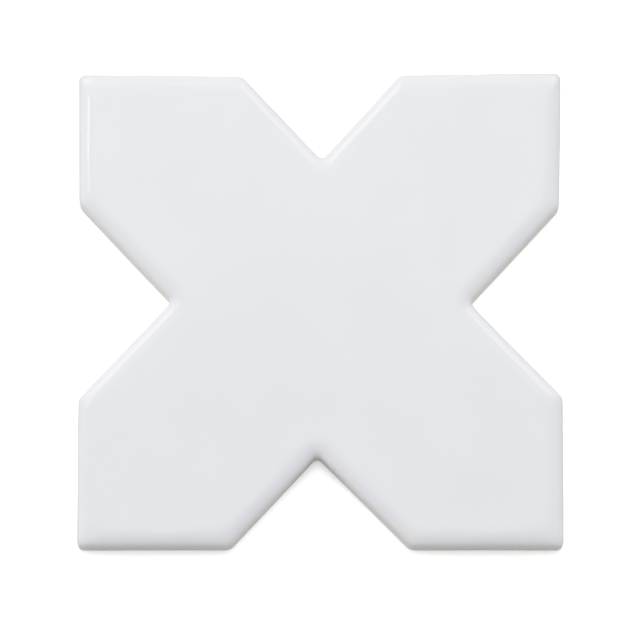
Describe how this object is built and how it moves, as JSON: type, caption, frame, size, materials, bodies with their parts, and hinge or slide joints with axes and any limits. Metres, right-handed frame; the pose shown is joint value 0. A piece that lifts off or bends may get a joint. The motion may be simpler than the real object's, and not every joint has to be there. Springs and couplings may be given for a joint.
{
  "type": "wall tile",
  "caption": "Cross-shaped white glazed ceramic wall tile with V notches in its sides, a softly rounded face edge and a keyed back.",
  "frame": {"origin": "on the back, where the middles of the opposite notches cross", "axes": "+Z out of the glazed face; X and Y along the straight edges, with +Y to the top of the picture"},
  "size_m": [0.12, 0.1186, 0.009],
  "materials": {
    "white_glaze": "gloss"
  },
  "bodies": {
    "root": {"cross_tile": "white_glaze"}
  },
  "joints": []
}
